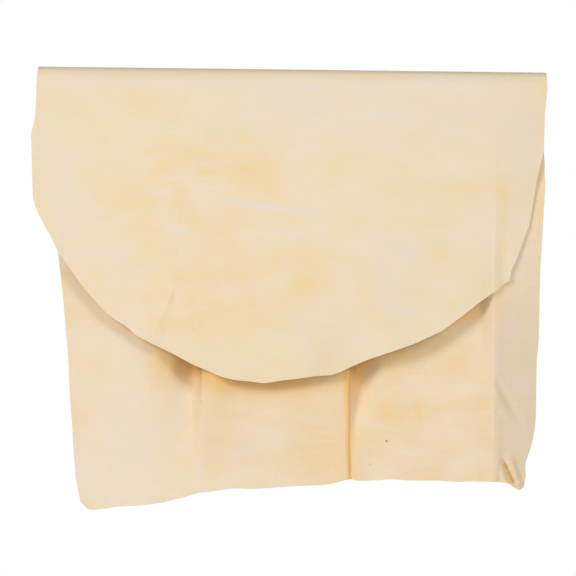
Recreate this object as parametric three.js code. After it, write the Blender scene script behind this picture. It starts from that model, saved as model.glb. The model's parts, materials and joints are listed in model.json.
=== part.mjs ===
// A chamois leather: one oil-tanned skin hung over a round rail, with a short D-shaped leaf in front
// and a longer leaf behind. The skin is divided only where it bends: at the rail, along the creases
// that its packing left, and at one turned corner. Millimetres, +Z up, the front faces -Y.

import * as THREE from 'three';

// The skin, and the fold over the rail
const THICKNESS = 1.0;
const FOLD_WIDTH = 506;
const RAIL_RADIUS = 6.5;
const SEAT_WIDTH = 1.6;
const FOLD_ARC_STEPS = 5;

// Gap between two panels that meet at a crease
const CREASE_GAP = 0.3;

// Drop of each leaf's lowest point below the top of the fold
const FRONT_DROP = 314;
const BACK_DROP = 442;

// Depths below the top of the fold where the creases begin
const FRONT_BAND = 60;
const BACK_BAND = 60;
const RIGHT_WING_START = 165;

// The corner's fold line: its height above the hem on the crease, and on the right edge
const CORNER_RISE_AT_CREASE = 14;
const CORNER_RISE_AT_EDGE = 66;

// Creases: distance from the nearer end of the fold, level with the band and at the hem
const FRONT_LEFT_CREASE = { bandInset: 149, hemInset: 132 };
const FRONT_RIGHT_CREASE = { bandInset: 45.5, hemInset: 45.5 };
const BACK_LEFT_CREASE = { bandInset: 173, hemInset: 166 };
const BACK_MIDDLE_CREASE = { bandInset: 197, hemInset: 192 };
const BACK_RIGHT_CREASE = { bandInset: 47, hemInset: 45.5 };

// How far each crease stands back from its leaf's plane: at the hem, and where the right wing begins
const FRONT_LEFT_HEM_SET = -1.5;
const FRONT_RIGHT_HEM_SET = -1.0;
const BACK_LEFT_HEM_SET = -9.0;
const BACK_MIDDLE_HEM_SET = -2.0;
const BACK_RIGHT_START_SET = -10.5;
const BACK_RIGHT_HEM_SET = -8.0;

// Angles by which the outer panels turn back beyond their creases, in degrees
const FRONT_LEFT_TURN = 1.5;
const FRONT_RIGHT_TURN = 4.0;
const BACK_LEFT_TURN = 0.5;
const BACK_RIGHT_TURN = 24.0;

// Side edges: [depth below the fold, inset from the fold's end]
const FRONT_LEFT_EDGE = [
  [0, 0], [37, -2], [54, -3.3], [66, -6.8], [108, -5.1], [133, -3.9], [146, 0.9], [160, 8.4], [186, 22.2],
];
const FRONT_RIGHT_EDGE = [
  [0, 0], [16, -2.3], [40, -0.3], [79, 0.3], [97, 4.7], [130, 10.3], [154, 14.3], [187, 26.3], [208, 33.3],
];
const BACK_LEFT_EDGE = [
  [0, 0], [60, 5], [120, 12], [195, 23.7], [238, 29], [293, 34.2], [337, 36.4], [380, 40], [408, 42.5], [434, 48],
];
const BACK_RIGHT_EDGE = [
  [0, 0], [114, -1], [176, 1.5], [268, 2.6], [318, 4.7], [351, 5.3], [376, 10.5], [396, 16.3], [416, 16.3],
];

// Hems: [distance from the leaf's left corner, rise above the leaf's lowest point]
const FRONT_HEM = [
  [0, 128], [17.5, 104.5], [38.5, 79], [49.5, 67.5], [70.5, 54], [101.5, 35], [134.5, 18.5], [161.5, 7],
  [192.5, 1.7], [207, 0], [240, 5], [275.5, 9], [292.5, 17], [336, 34], [370, 48], [404.5, 70], [437, 95],
  [450.5, 106],
];
const BACK_HEM = [
  [0, 8.5], [5.7, 2], [9.3, 0], [27, 2], [57, 5], [80, 8], [107, 15], [119, 19.3], [150, 23.5], [228, 27],
  [256, 31.3], [266, 34], [275, 32], [290, 32.6], [354, 33.2], [412, 33], [422.5, 32.4], [432, 27.6], [437, 25],
  [441.7, 26.4],
];

// Bellies beside the creases, counted from the left: centre, half size, and how far each stands back
const FRONT_BELLIES = [
  { crease: 0, offset: -24, depth: 246, halfWidth: 22, halfHeight: 60, back: 2.2 },
  { crease: 0, offset: 24, depth: 262, halfWidth: 22, halfHeight: 60, back: 1.2 },
  { crease: 1, offset: -147, depth: 225, halfWidth: 130, halfHeight: 150, back: -2.4 },
];
const BACK_BELLIES = [
  { crease: 0, offset: -85, depth: 330, halfWidth: 40, halfHeight: 150, back: 2.5 },
  { crease: 0, offset: -27, depth: 292, halfWidth: 25, halfHeight: 64, back: 12 },
  { crease: 0, offset: 22, depth: 300, halfWidth: 20, halfHeight: 90, back: -4.5 },
  { crease: 1, offset: -12, depth: 330, halfWidth: 10, halfHeight: 170, back: -5 },
  { crease: 1, offset: 70, depth: 235, halfWidth: 66, halfHeight: 160, back: 6 },
  { crease: 2, offset: -22, depth: 228, halfWidth: 20, halfHeight: 64, back: 11 },
  { crease: 2, offset: 17, depth: 401, halfWidth: 9, halfHeight: 22, back: 3 },
  { crease: 2, offset: 28, depth: 412, halfWidth: 9, halfHeight: 22, back: -4 },
];

// Panels of the mesh across each stretch between creases, and down each stretch between levels
const FRONT_COLUMNS = [8, 16, 4];
const BACK_COLUMNS = [9, 12, 12, 6];
const FRONT_ROWS = [2, 9];
const BACK_ROWS = [2, 3, 6, 3];

// Finishes of the skin
const SKIN_ROUGHNESS = 0.92;
const FOLD_COLOUR = 0xe6d6b8;
const FRONT_COLOUR = 0xebdabc;
const BACK_COLOUR = 0xead6b4;
const TURNED_COLOUR = 0xe1ceb1;

const { degToRad, lerp, smoothstep } = THREE.MathUtils;

// The flat of the seat is a chord of the fold's inside, and lies at the origin
const SEAT_ANGLE = Math.asin(SEAT_WIDTH / 2 / RAIL_RADIUS);
const FOLD_CENTRE_Z = -RAIL_RADIUS * Math.cos(SEAT_ANGLE);
const OUTER_RADIUS = RAIL_RADIUS + THICKNESS;
const TOP_Z = FOLD_CENTRE_Z + OUTER_RADIUS;
const LEAF_TOP = TOP_Z - FOLD_CENTRE_Z + CREASE_GAP;

// A smooth curve through measured points, as a function of the first coordinate
function curveThrough(points) {
  const stations = points.map((point) => point[0]);
  const values = points.map((point) => point[1]);
  const curve = new THREE.CubicInterpolant(stations, values, 1);
  return (at) => curve.evaluate(at)[0];
}

// A rounded bump that is 1 at 0 and falls to nothing at -1 and 1
function bump(share) {
  return Math.abs(share) < 1 ? Math.cos(share * Math.PI / 2) ** 2 : 0;
}

// Shares from 0 to 1 that crowd towards both ends, where the creases are
function crowdedShares(count) {
  return Array.from({ length: count + 1 }, (_, i) => (1 - Math.cos(Math.PI * i / count)) / 2);
}

// One leaf of the skin: its outline, its creases and the way it hangs
class Leaf {
  constructor({ drop, band, leftEdge, rightEdge, hem, creases, turns, bellies, levels, columns, rows }) {
    Object.assign(this, { band, creases, turns, bellies, levels });
    const leftInset = curveThrough(leftEdge);
    const rightInset = curveThrough(rightEdge);
    const hemRise = curveThrough(hem);
    const drawnWidth = hem.at(-1)[0];
    this.left = {
      x: (depth) => leftInset(depth) - FOLD_WIDTH / 2,
      hemDepth: drop - hem[0][1],
    };
    this.right = {
      x: (depth) => FOLD_WIDTH / 2 - rightInset(depth),
      hemDepth: drop - hem.at(-1)[1],
    };
    const cornerX = this.left.x(this.left.hemDepth);
    const width = this.right.x(this.right.hemDepth) - cornerX;
    this.hem = (x) => drop - hemRise((x - cornerX) / width * drawnWidth);
    for (const crease of creases) {
      crease.hemDepth = this.hem(crease.hemX);
      crease.x = (depth) => lerp(crease.bandX, crease.hemX, (depth - band) / (crease.hemDepth - band));
    }
    this.bounds = [this.left, ...creases, this.right];
    this.stations = columns.flatMap((count, block) => crowdedShares(count)
      .slice(block === 0 ? 0 : 1)
      .map((share) => ({ block, share })));
    this.lines = rows.flatMap((count, level) => Array.from(
      { length: count + (level === rows.length - 1 ? 1 : 0) },
      (_, i) => ({ level, share: i / count }),
    ));
  }

  // Depth on a boundary line at a line of the mesh
  depthOn(bound, line) {
    const depths = [LEAF_TOP, ...this.levels.map((level) => level(bound)), bound.hemDepth];
    return lerp(depths[line.level], depths[line.level + 1], line.share);
  }

  // Place in the leaf, as x and depth, of one station on one line
  place(station, line) {
    const [from, to] = [this.bounds[station.block], this.bounds[station.block + 1]];
    const [fromDepth, toDepth] = [this.depthOn(from, line), this.depthOn(to, line)];
    const x = lerp(from.x(fromDepth), to.x(toDepth), station.share);
    const depth = lerp(fromDepth, toDepth, station.share);
    const last = line.level === this.levels.length;
    const hemX = lerp(from.x(from.hemDepth), to.x(to.hemDepth), station.share);
    const hemBow = this.hem(hemX) - lerp(from.hemDepth, to.hemDepth, station.share);
    return [x, depth + (last ? hemBow * line.share : 0)];
  }

  // How far a crease stands back at a depth: a straight line below its start
  creaseSet(crease, depth) {
    if (depth < crease.start) return crease.startSet * smoothstep(depth, LEAF_TOP, crease.start);
    return lerp(crease.startSet, crease.hemSet, (depth - crease.start) / (crease.hemDepth - crease.start));
  }

  // How far the skin stands back from the leaf's plane
  set(x, depth) {
    const xs = this.creases.map((crease) => crease.x(depth));
    const sets = this.creases.map((crease) => this.creaseSet(crease, depth));
    const beyond = xs.findIndex((creaseX) => x < creaseX);
    let set;
    if (beyond === 0) {
      const ramp = smoothstep(depth, LEAF_TOP, this.creases[0].start);
      set = sets[0] + Math.tan(degToRad(this.turns[0])) * ramp * (xs[0] - x);
    } else if (beyond < 0) {
      const ramp = smoothstep(depth, LEAF_TOP, this.creases.at(-1).start);
      set = sets.at(-1) + Math.tan(degToRad(this.turns[1])) * ramp * (x - xs.at(-1));
    } else {
      const share = (x - xs[beyond - 1]) / (xs[beyond] - xs[beyond - 1]);
      set = lerp(sets[beyond - 1], sets[beyond], share);
    }
    for (const belly of this.bellies) {
      const across = (x - xs[belly.crease] - belly.offset) / belly.halfWidth;
      const down = (depth - belly.depth) / belly.halfHeight;
      set += belly.back * bump(across) * bump(down);
    }
    return set;
  }

  // Unit normal of the skin, on the side away from the viewer
  normal(x, depth) {
    const slopeX = (this.set(x + THICKNESS, depth) - this.set(x - THICKNESS, depth)) / (2 * THICKNESS);
    const slopeZ = (this.set(x, depth - THICKNESS) - this.set(x, depth + THICKNESS)) / (2 * THICKNESS);
    return new THREE.Vector3(-slopeX, 1, -slopeZ).normalize();
  }
}

// The skin of one panel, as a closed sheet over the cells that belong to it
function panelGeometry(leaf, belongs) {
  const { stations, lines } = leaf;
  const inLeaf = (c, r) => c >= 0 && r >= 0 && c < stations.length - 1 && r < lines.length - 1;
  const member = (c, r) => inLeaf(c, r) && belongs(stations[c + 1].block, lines[r].level);
  const front = [];
  const back = [];
  const numbers = new Map();

  // A point on a crease keeps half the gap from the panels on its other side
  const pointNumber = (c, r) => {
    const key = r * stations.length + c;
    if (numbers.has(key)) return numbers.get(key);
    let [awayX, awayDepth] = [0, 0];
    for (const [stepC, stepR] of [[-1, -1], [0, -1], [-1, 0], [0, 0]]) {
      if (!inLeaf(c + stepC, r + stepR) || member(c + stepC, r + stepR)) continue;
      awayX += stepC < 0 ? 1 : -1;
      awayDepth += stepR < 0 ? 1 : -1;
    }
    const [x0, depth0] = leaf.place(stations[c], lines[r]);
    const x = x0 + Math.sign(awayX) * CREASE_GAP / 2;
    const depth = depth0 + Math.sign(awayDepth) * CREASE_GAP / 2;
    const middle = new THREE.Vector3(x, leaf.set(x, depth), -depth);
    const half = leaf.normal(x, depth).multiplyScalar(THICKNESS / 2);
    front.push(middle.clone().sub(half));
    back.push(middle.clone().add(half));
    numbers.set(key, front.length - 1);
    return front.length - 1;
  };

  const faces = [];
  for (let r = 0; r < lines.length - 1; r += 1) {
    for (let c = 0; c < stations.length - 1; c += 1) {
      if (!member(c, r)) continue;
      const [a, b] = [pointNumber(c, r), pointNumber(c + 1, r)];
      const [d, e] = [pointNumber(c, r + 1), pointNumber(c + 1, r + 1)];
      faces.push([a, d, e], [a, e, b]);
    }
  }
  const edges = faces.flatMap(([a, b, c]) => [[a, b], [b, c], [c, a]]);
  const present = new Set(edges.map((edge) => edge.join()));
  const rim = edges.filter(([a, b]) => !present.has([b, a].join()));
  const behind = front.length;
  const index = [
    ...faces.flat(),
    ...faces.flatMap(([a, b, c]) => [c + behind, b + behind, a + behind]),
    ...rim.flatMap(([a, b]) => [b, a, a + behind, b, a + behind, b + behind]),
  ];
  const geometry = new THREE.BufferGeometry().setFromPoints([...front, ...back]);
  geometry.setIndex(index);
  geometry.computeVertexNormals();
  return geometry;
}

// The skin over the rail: a half tube with a narrow flat on its inside, where it lies on the rail
function foldGeometry() {
  const top = Math.PI / 2;
  const section = new THREE.Shape();
  section.absarc(0, FOLD_CENTRE_Z, OUTER_RADIUS, 0, Math.PI, false);
  section.absarc(0, FOLD_CENTRE_Z, RAIL_RADIUS, Math.PI, top + SEAT_ANGLE, true);
  section.absarc(0, FOLD_CENTRE_Z, RAIL_RADIUS, top - SEAT_ANGLE, 0, true);
  section.closePath();
  const geometry = new THREE.ExtrudeGeometry(section, {
    depth: FOLD_WIDTH,
    bevelEnabled: false,
    curveSegments: FOLD_ARC_STEPS,
  });
  geometry.translate(0, 0, -FOLD_WIDTH / 2);
  const alongRail = new THREE.Matrix4().makeBasis(
    new THREE.Vector3(0, 1, 0),
    new THREE.Vector3(0, 0, 1),
    new THREE.Vector3(1, 0, 0),
  );
  return geometry.applyMatrix4(alongRail);
}

function skin(name, geometry, color) {
  const material = new THREE.MeshStandardMaterial({ color, roughness: SKIN_ROUGHNESS, metalness: 0 });
  const mesh = new THREE.Mesh(geometry, material);
  mesh.name = name;
  return mesh;
}

// A crease's line, placed from the left end of the fold (side -1) or from the right end (side 1)
function creaseLine({ bandInset, hemInset }, side, start, startSet, hemSet) {
  const placed = (inset) => side * (FOLD_WIDTH / 2 - inset);
  return { bandX: placed(bandInset), hemX: placed(hemInset), start, startSet, hemSet };
}

const frontLeaf = new Leaf({
  drop: FRONT_DROP,
  band: FRONT_BAND,
  leftEdge: FRONT_LEFT_EDGE,
  rightEdge: FRONT_RIGHT_EDGE,
  hem: FRONT_HEM,
  creases: [
    creaseLine(FRONT_LEFT_CREASE, -1, FRONT_BAND, 0, FRONT_LEFT_HEM_SET),
    creaseLine(FRONT_RIGHT_CREASE, 1, FRONT_BAND, 0, FRONT_RIGHT_HEM_SET),
  ],
  turns: [FRONT_LEFT_TURN, FRONT_RIGHT_TURN],
  bellies: FRONT_BELLIES,
  levels: [() => FRONT_BAND],
  columns: FRONT_COLUMNS,
  rows: FRONT_ROWS,
});

const backLeaf = new Leaf({
  drop: BACK_DROP,
  band: BACK_BAND,
  leftEdge: BACK_LEFT_EDGE,
  rightEdge: BACK_RIGHT_EDGE,
  hem: BACK_HEM,
  creases: [
    creaseLine(BACK_LEFT_CREASE, -1, BACK_BAND, 0, BACK_LEFT_HEM_SET),
    creaseLine(BACK_MIDDLE_CREASE, 1, BACK_BAND, 0, BACK_MIDDLE_HEM_SET),
    creaseLine(BACK_RIGHT_CREASE, 1, RIGHT_WING_START, BACK_RIGHT_START_SET, BACK_RIGHT_HEM_SET),
  ],
  turns: [BACK_LEFT_TURN, BACK_RIGHT_TURN],
  bellies: BACK_BELLIES,
  levels: [
    () => BACK_BAND,
    () => RIGHT_WING_START,
    (bound) => bound.hemDepth - (bound === backLeaf.right ? CORNER_RISE_AT_EDGE : CORNER_RISE_AT_CREASE),
  ],
  columns: BACK_COLUMNS,
  rows: BACK_ROWS,
});

// Stretches between the creases, from the left, and between the levels, from the top
const FRONT = { leftWing: 0, centre: 1, rightWing: 2 };
const BACK = { leftWing: 0, centre: 1, rightPanel: 2, rightWing: 3 };
const LEVEL = { band: 0, shoulder: 1, wing: 2, corner: 3 };

const frontPanels = {
  front_flap: (block, level) => level === LEVEL.band || block === FRONT.centre,
  front_left_wing: (block, level) => level > LEVEL.band && block === FRONT.leftWing,
  front_right_wing: (block, level) => level > LEVEL.band && block === FRONT.rightWing,
};
const backPanels = {
  back_leaf: (block, level) => level === LEVEL.band || block === BACK.centre,
  back_left_wing: (block, level) => level > LEVEL.band && block === BACK.leftWing,
  back_right_panel: (block, level) => level > LEVEL.band
    && (block === BACK.rightPanel || (block === BACK.rightWing && level === LEVEL.shoulder)),
  back_right_wing: (block, level) => block === BACK.rightWing && level === LEVEL.wing,
  back_right_corner: (block, level) => block === BACK.rightWing && level === LEVEL.corner,
};

// A leaf's group hangs from the top of the fold, in the plane of its side of the fold
function leafGroup(leaf, panels, side, colourOf) {
  const group = new THREE.Group();
  group.position.set(0, side * (RAIL_RADIUS + THICKNESS / 2), TOP_Z);
  for (const [name, belongs] of Object.entries(panels)) {
    group.add(skin(name, panelGeometry(leaf, belongs), colourOf(name)));
  }
  return group;
}

const chamois = new THREE.Group();
chamois.add(skin('top_fold', foldGeometry(), FOLD_COLOUR));
chamois.add(leafGroup(frontLeaf, frontPanels, -1, () => FRONT_COLOUR));
chamois.add(leafGroup(backLeaf, backPanels, 1, (name) => (
  name.startsWith('back_right_wing') || name.endsWith('corner') ? TURNED_COLOUR : BACK_COLOUR
)));

export default chamois;
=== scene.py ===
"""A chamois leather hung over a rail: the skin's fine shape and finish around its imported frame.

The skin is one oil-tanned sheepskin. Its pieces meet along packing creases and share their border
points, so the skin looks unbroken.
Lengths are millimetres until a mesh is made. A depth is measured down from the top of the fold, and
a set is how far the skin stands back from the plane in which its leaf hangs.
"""

import json
import logging
import math
from collections.abc import Callable, Iterable, Sequence
from dataclasses import dataclass
from enum import Enum, IntEnum
from itertools import product

import bpy
import numpy as np
from mathutils import Matrix, Vector


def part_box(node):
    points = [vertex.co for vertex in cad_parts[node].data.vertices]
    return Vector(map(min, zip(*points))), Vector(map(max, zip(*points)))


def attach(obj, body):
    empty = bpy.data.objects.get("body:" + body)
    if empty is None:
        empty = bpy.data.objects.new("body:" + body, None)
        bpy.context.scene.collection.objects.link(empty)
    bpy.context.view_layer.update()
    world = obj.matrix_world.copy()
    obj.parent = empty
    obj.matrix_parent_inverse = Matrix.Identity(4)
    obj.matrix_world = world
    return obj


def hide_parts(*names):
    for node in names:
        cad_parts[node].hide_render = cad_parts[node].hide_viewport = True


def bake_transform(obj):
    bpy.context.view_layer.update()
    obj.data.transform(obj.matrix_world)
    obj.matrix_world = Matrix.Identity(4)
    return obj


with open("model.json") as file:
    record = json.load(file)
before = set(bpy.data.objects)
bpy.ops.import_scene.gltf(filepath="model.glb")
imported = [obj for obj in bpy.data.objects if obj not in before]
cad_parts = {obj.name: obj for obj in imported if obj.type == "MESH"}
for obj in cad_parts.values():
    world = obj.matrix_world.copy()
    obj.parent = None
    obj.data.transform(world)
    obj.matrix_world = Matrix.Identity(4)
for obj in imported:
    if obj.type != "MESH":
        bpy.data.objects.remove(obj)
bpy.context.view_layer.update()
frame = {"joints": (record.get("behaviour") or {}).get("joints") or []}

LOG = logging.getLogger("chamois")
MM = 0.001
FLAT_MAP = "skin_flat"
# Pieces are this share of their size, so that neighbours part by a hair and never share a face
HAIRLINE = 0.9999
# Faces across the thickness of a border
RIM_STEPS = 4
# Places over which the rounding of a cut corner is averaged
CORNER_STEPS = 7
# Least share of a length, which keeps divisions off zero
LEAST = 0.001

Array = np.ndarray
Socket = bpy.types.NodeSocket
Inputs = dict[str | int, object]
Colour = tuple[float, float, float, float]
Point = tuple[float, float]
# A line across a leaf: its depth from the hem's depth below it, and from whether it is at the right edge
Level = Callable[[float, bool], float]

# The skin's thickness, and the fold over the rail as the frame holds it
THICKNESS = 1.0
FOLD_LOW, FOLD_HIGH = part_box("top_fold")
OUTER_RADIUS = FOLD_HIGH.y / MM
MID_RADIUS = OUTER_RADIUS - THICKNESS / 2
TOP_Z = FOLD_HIGH.z / MM
FOLD_CENTRE_Z = FOLD_LOW.z / MM
HINGES = {joint["name"]: joint for joint in frame["joints"]}
# Straight skin at the fold's ends, and the depths at which the leaves, their creases and the wing start
FOLD_SKIRT = 0.3
LEAF_TOP = OUTER_RADIUS + FOLD_SKIRT
BAND = 60.0
WING_START = 165.0
# Heights of the turned corner above the hem: inside the skin, and at its right edge
CORNER_RISES = (14.0, 66.0)


class Side(Enum):
    """The leaf that a piece belongs to, as the sign of its y."""

    FRONT = -1
    BACK = 1


class Layer(IntEnum):
    """The surfaces of the skin, as the numbers of their material slots."""

    OUTER = 0
    INNER = 1
    CUT = 2


class Tint(Enum):
    """The ways in which the skin's colour varies, as the names of their mesh attributes."""

    YELLOW = "yellowing"
    PALE = "paleness"
    # Painted shade: grey on the crown of the fold and a dark line in the turned corner's slit
    PAINTED_SHADE = "painted_shade"
    # Painted shade: warm, darker colour where the front leaf's hem shades the skin, down the middle
    # crease and inside the fold
    PAINTED_WARM_SHADE = "painted_warm_shade"


def linear(hex_colour: str) -> Colour:
    """Turn an sRGB hex colour into linear RGBA.

    Args:
        hex_colour: Six hex digits after a hash.

    Returns:
        The linear red, green and blue, and an alpha of 1.
    """
    parts = [int(hex_colour[i : i + 2], 16) / 255 for i in (1, 3, 5)]
    red, green, blue = (p / 12.92 if p <= 0.04045 else ((p + 0.055) / 1.055) ** 2.4 for p in parts)
    return red, green, blue, 1.0


def fill(tree: bpy.types.NodeTree, node: bpy.types.Node, inputs: Inputs) -> None:
    """Give a node's inputs their values, and link those that follow another node.

    Args:
        tree: The node tree that holds the node.
        node: The node.
        inputs: A value, or a socket to link from, for each input by name or number.
    """
    for key, value in inputs.items():
        if isinstance(value, Socket):
            tree.links.new(value, node.inputs[key])
        else:
            node.inputs[key].default_value = value


def add_node(
    tree: bpy.types.NodeTree, kind: str, inputs: Inputs | None = None, **settings: object
) -> bpy.types.Node:
    """Add a node with its settings, values and links.

    Args:
        tree: The node tree that takes the node.
        kind: The node's type, without the words that all of them start with.
        inputs: A value, or a socket to link from, for each input by name or number.
        **settings: The node's own properties.

    Returns:
        The new node.
    """
    node = tree.nodes.new(f"ShaderNode{kind}")
    for name, value in settings.items():
        setattr(node, name, value)
    fill(tree, node, inputs or {})
    return node


def bump(share: Array) -> Array:
    """Give a rounded bump that is 1 at 0 and falls to nothing at -1 and 1."""
    return np.where(np.abs(share) < 1, np.cos(np.clip(share, -1, 1) * math.pi / 2) ** 2, 0.0)


def ramp(value: Array, start: float, end: float) -> Array:
    """Rise smoothly from 0 at start to 1 at end."""
    share = np.clip((value - start) / (end - start), 0, 1)
    return share * share * (3 - 2 * share)


def between(ends: Sequence[Array], share: Array) -> Array:
    """Go a share of the way from the first of two values to the second."""
    return ends[0] + (ends[1] - ends[0]) * share


def cut_line(points: Sequence[Point], corner: float = 3.0) -> Callable[[Array], Array]:
    """Make a scissor cut through points: straight stretches with corners that are slightly rounded.

    Args:
        points: Places on the cut, in rising order of their first coordinate.
        corner: How far the rounding reaches on either side of a corner.

    Returns:
        The second coordinate as a function of the first.
    """
    stations, values = np.array(points, float).T

    def at(place: Array) -> Array:
        """Average the cut on either side of a place."""
        steps = np.linspace(-corner, corner, CORNER_STEPS)
        return np.mean([np.interp(place + step, stations, values) for step in steps], axis=0)

    return at


@dataclass(frozen=True)
class Stroke:
    """A straight stroke on the skin, from one (x, depth) to another, that fades at its sides and ends.

    The strength of a wrinkle is how far it stands back, below 0 for a ridge. That of a stain or of
    painted shade is a share.
    Each fade is the share of the length that it takes.
    """

    strength: float
    start: Point
    end: Point
    half_width: float
    fades: Point = (0.4, 0.4)

    def cover(self, x: Array, depth: Array) -> Array:
        """Lay the stroke on the skin.

        Args:
            x: Places along the rail.
            depth: Their depths.

        Returns:
            Its strength at each place.
        """
        (x0, depth0), (x1, depth1) = self.start, self.end
        length = math.hypot(x1 - x0, depth1 - depth0)
        along_x, along_depth = (x1 - x0) / length, (depth1 - depth0) / length
        along = ((x - x0) * along_x + (depth - depth0) * along_depth) / length
        across = (depth - depth0) * along_x - (x - x0) * along_depth
        first, last = (max(fade, LEAST) for fade in self.fades)
        ends = ramp(along, 0.0, first) * ramp(1 - along, 0.0, last)
        return self.strength * (bump(across / self.half_width) * ends)


def strokes(*rows: tuple[float | Point, ...]) -> tuple[Stroke, ...]:
    """Draw strokes, each from a row of a stroke's fields in their order."""
    return tuple(Stroke(*row) for row in rows)


@dataclass(frozen=True)
class HemShade:
    """Painted shade: a warmer, darker colour on skin that lies behind the front leaf's hem, where shade
    falls, fading over a span of depth from the hem.
    """

    strength: float
    hem: Sequence[Point]
    start: float
    end: float

    def cover(self, x: Array, depth: Array) -> Array:
        """Tell how strong the painted shade is at each place."""
        return self.strength * (1 - ramp(depth - cut_line(self.hem)(x), self.start, self.end))


StainsAndShade = Sequence[tuple[Tint, Sequence[Stroke | HemShade]]]


@dataclass(frozen=True)
class CrownShade:
    """Painted shade: grey on the crown of the fold, darkest at its top, where the skin faces up."""

    strength: float = 0.5
    reach: float = 20.0

    def cover(self, way: Array) -> Array:
        """Tell how dark the painted shade is at a distance along the skin from the crown."""
        return self.strength * bump(way / self.reach) ** 2


@dataclass(frozen=True)
class Belly:
    """A swell or hollow beside a crease, counted from the left, with its reach to all four sides."""

    crease: int
    offset: float
    depth: float
    left: float
    right: float
    up: float
    down: float
    back: float

    def set_back(self, crease_x: Array, x: Array, depth: Array) -> Array:
        """Give how far the swell stands back.

        Args:
            crease_x: The crease's own x at each depth.
            x: Places along the rail.
            depth: Their depths.

        Returns:
            Distances, 0 beyond the swell's reach.
        """
        across = x - crease_x - self.offset
        down = depth - self.depth
        across = across / np.where(across < 0, self.left, self.right)
        down = down / np.where(down < 0, self.up, self.down)
        return self.back * bump(across) * bump(down)


@dataclass(frozen=True)
class Lap:
    """A sharp crease whose right side stands behind its left: a lip, a drop and a slow recovery."""

    crease: int
    lip: float
    lip_width: float
    drop: float
    recovery: float
    start: float
    full: float
    drop_width: float
    offset: float

    def set_back(self, crease_x: Array, x: Array, depth: Array) -> Array:
        """Give how far the lap stands back.

        Args:
            crease_x: The crease's own x at each depth.
            x: Places along the rail.
            depth: Their depths.

        Returns:
            Distances, below 0 on the lip and above 0 behind it.
        """
        past = x - crease_x - self.offset
        lip = -self.lip * np.clip(1 + past / self.lip_width, 0, 1) ** 2
        fallen = ramp(past, 0.0, self.drop_width)
        behind = self.drop * (1 - ramp(past, self.drop_width, self.recovery))
        return (lip * (1 - fallen) + behind * fallen) * ramp(depth, self.start, self.full)


@dataclass(frozen=True)
class Dent:
    """A dent that opens downwards from an apex, steeper at its left line than at its right one."""

    apex: Point
    left: Point
    right: Point
    back: float
    deepest: float = 0.3
    limit: float = 1.3

    def set_back(self, x: Array, depth: Array) -> Array:
        """Give how far the dent stands back.

        Args:
            x: Places along the rail.
            depth: Their depths.

        Returns:
            Distances, 0 outside the dent.
        """
        down = np.clip((depth - self.apex[1]) / (self.left[1] - self.apex[1]), LEAST, None)
        left = self.apex[0] + (self.left[0] - self.apex[0]) * down
        slope = (self.right[0] - self.apex[0]) / (self.right[1] - self.apex[1])
        right = self.apex[0] + slope * (self.left[1] - self.apex[1]) * down
        share = (x - left) / (right - left)
        rise = ramp(share, 0.0, self.deepest) * (1 - ramp(share, self.deepest, 1.0))
        return self.back * np.minimum(down, self.limit) * rise


@dataclass(frozen=True)
class Crease:
    """A straight packing crease, read from the hinge that stands for it.

    Its borders slide with a little play, and with more near the hem if need be. They are rounded from a
    fade below the crease's start, and only where the hinge is near enough in front of the skin.
    """

    hinge: str
    side: Side
    hinge_off_skin: float = 0.65
    play: float = 0.02
    hem_play: float = 0.0
    hem_heights: Point = (22.0, 15.0)
    fade: float = 12.0
    nearest: Point = (-0.5, 0.2)
    farthest: Point = (3.0, 4.0)

    def line(self, depth: Array) -> tuple[Array, Array]:
        """Place the crease's line.

        Args:
            depth: Depths along the crease.

        Returns:
            Its x, and how far it stands back, at each depth.
        """
        x, y, z = (value / MM for value in HINGES[self.hinge]["pos_m"])
        along_x, along_y, along_z = HINGES[self.hinge]["axis"]
        drop = (TOP_Z - depth - z) / along_z
        plane = self.side.value * (MID_RADIUS + self.hinge_off_skin)
        start_set = y - plane
        below = start_set + along_y * drop
        above = start_set * ramp(depth, LEAF_TOP, self.start)
        return x + along_x * drop, np.where(depth < self.start, above, below)

    @property
    def start(self) -> float:
        """Depth at which the crease begins."""
        return TOP_Z - HINGES[self.hinge]["pos_m"][2] / MM


@dataclass(frozen=True)
class Bend:
    """Where a piece turns from one body to the next, as distances down the skin or past its hinge."""

    parent: str
    start: float
    end: float


@dataclass(frozen=True)
class Panel:
    """One piece of a leaf: the frame's node, the (stretch, level) cells that it covers, and its bend."""

    node: str
    cells: frozenset[tuple[int, int]]
    bend: Bend


@dataclass(frozen=True)
class Grid:
    """The points of a sheet, in rows down the skin: middle surface, normals, flat places and tints."""

    points: Array
    normals: Array
    flat: Array
    tints: dict[Tint, Array]


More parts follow.
